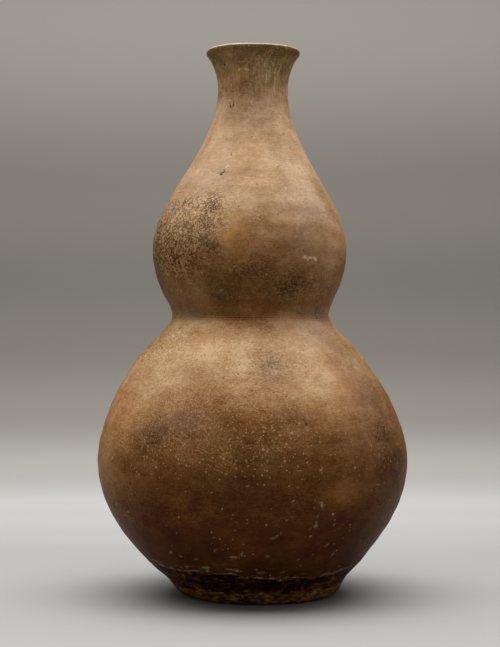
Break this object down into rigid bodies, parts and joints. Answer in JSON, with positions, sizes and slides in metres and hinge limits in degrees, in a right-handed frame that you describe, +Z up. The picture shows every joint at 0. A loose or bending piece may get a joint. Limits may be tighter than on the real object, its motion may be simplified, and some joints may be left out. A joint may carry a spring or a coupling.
{
  "type": "double gourd vase",
  "caption": "Tall earthenware vase with a large lower bulb, a smaller upper bulb, a narrow flared neck and a low foot ring, luted from thrown sections.",
  "frame": {"origin": "on the floor under the middle of the lower bulb's widest ring, which is the middle of the bounding box's bottom", "axes": "+Z up along the vase, +X to the right in the picture's view, +Y away from the viewer"},
  "size_m": [0.2568, 0.2568, 0.45],
  "materials": {
    "burnished_clay": "satin",
    "scorched_clay": "satin",
    "worn_lip": "matte",
    "bare_clay": "matte"
  },
  "bodies": {
    "root": {"foot_ring": "scorched_clay", "base_disc": "bare_clay", "base_luting_coil": "bare_clay", "lower_bulb_bowl": "burnished_clay", "lower_bulb_luting_coil": "bare_clay", "lower_bulb_shoulder": "burnished_clay", "waist_luting_coil": "bare_clay", "upper_bulb_bowl": "burnished_clay", "upper_bulb_luting_coil": "bare_clay", "upper_bulb_shoulder": "burnished_clay", "neck_luting_coil": "bare_clay", "neck": "burnished_clay", "lip_coil": "worn_lip"}
  },
  "joints": []
}
